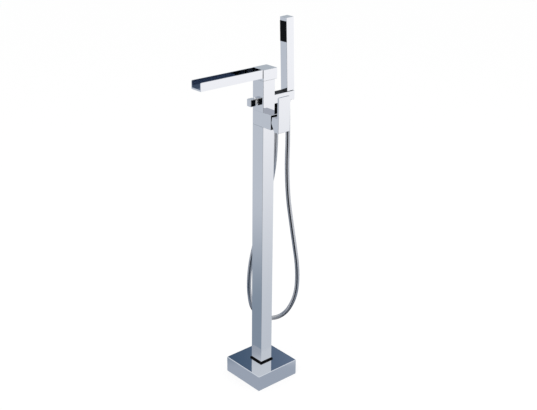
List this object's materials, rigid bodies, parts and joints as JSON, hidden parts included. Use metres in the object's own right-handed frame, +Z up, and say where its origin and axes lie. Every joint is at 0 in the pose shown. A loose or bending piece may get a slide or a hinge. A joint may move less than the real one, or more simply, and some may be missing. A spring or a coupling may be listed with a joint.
{
  "type": "floor standing bath filler",
  "caption": "Freestanding square chrome bath filler with an open trough spout, a side mixer lever, a pull diverter and a square hand shower on a hose.",
  "frame": {"origin": "on the floor under the middle of the column, at the centre of the anchor bolt pattern", "axes": "+Z up, +X towards the mixer lever, the spout runs along -Y, the hand shower stands on the +Y side"},
  "size_m": [0.1644, 0.354, 1.0827],
  "materials": {
    "chrome": "polished",
    "steel": "satin",
    "brass": "machined",
    "black_rubber": "matte",
    "black_plastic": "satin",
    "white_plastic": "moulded",
    "ceramic": "lapped",
    "hose_metal": "ribbed"
  },
  "bodies": {
    "stand": {"floor_flange": "steel", "foot_screws": "steel", "base_cover": "chrome", "column_gasket": "black_rubber", "column_tube": "chrome", "hot_supply_pipe": "brass", "cold_supply_pipe": "brass", "hot_union": "brass", "cold_union": "brass", "mixer_body": "chrome", "cartridge_housing": "white_plastic", "cartridge_fixed_disc": "ceramic", "cartridge_retainer": "brass", "riser_tube": "chrome", "mixed_water_pipe": "brass", "diverter_body": "brass", "diverter_bonnet": "chrome", "spout_pipe": "brass", "spout_head": "chrome", "spout_trough": "chrome", "flow_plate": "steel", "holder_body": "chrome", "holder_insert": "black_plastic", "holder_stud": "brass", "hose_outlet": "chrome", "outlet_nut": "black_plastic", "outlet_washer": "black_rubber", "shower_hose": "hose_metal"},
    "mixer_carrier": {"cartridge_carrier": "white_plastic", "cartridge_turning_disc": "ceramic", "tilt_pin": "steel"},
    "lever": {"lever_spindle": "brass", "lever_handle": "chrome", "lever_grub_screw": "steel"},
    "diverter": {"diverter_stem": "chrome", "diverter_spool": "brass", "diverter_seals": "black_rubber", "diverter_knob": "chrome"},
    "shower_nut": {"shower_cone_nut": "chrome", "shower_washer": "black_rubber"},
    "hand_shower": {"shower_bar": "chrome", "spray_panel": "black_plastic", "spray_nozzles": "black_rubber", "shower_foot": "brass"}
  },
  "joints": [
    {"name": "temperature_turn", "type": "hinge", "parent": "stand", "child": "mixer_carrier", "pos_m": [0.0445, 0, 0.81625], "axis": [1, 0, 0], "range_deg": [-45, 45]},
    {"name": "flow_tilt", "type": "hinge", "parent": "mixer_carrier", "child": "lever", "pos_m": [0.0445, 0, 0.81625], "axis": [0, 1, 0], "range_deg": [0, 25]},
    {"name": "diverter_pull", "type": "slide", "parent": "stand", "child": "diverter", "axis": [0, -1, 0], "range_m": [0, 0.01]},
    {"name": "shower_lift", "type": "slide", "parent": "stand", "child": "shower_nut", "axis": [0, -0.0384, 0.9993], "range_m": [0, 0.06]},
    {"name": "shower_swivel", "type": "hinge", "parent": "shower_nut", "child": "hand_shower", "pos_m": [0, 0.0877, 0.877], "axis": [0, -0.0384, 0.9993], "continuous": true}
  ]
}
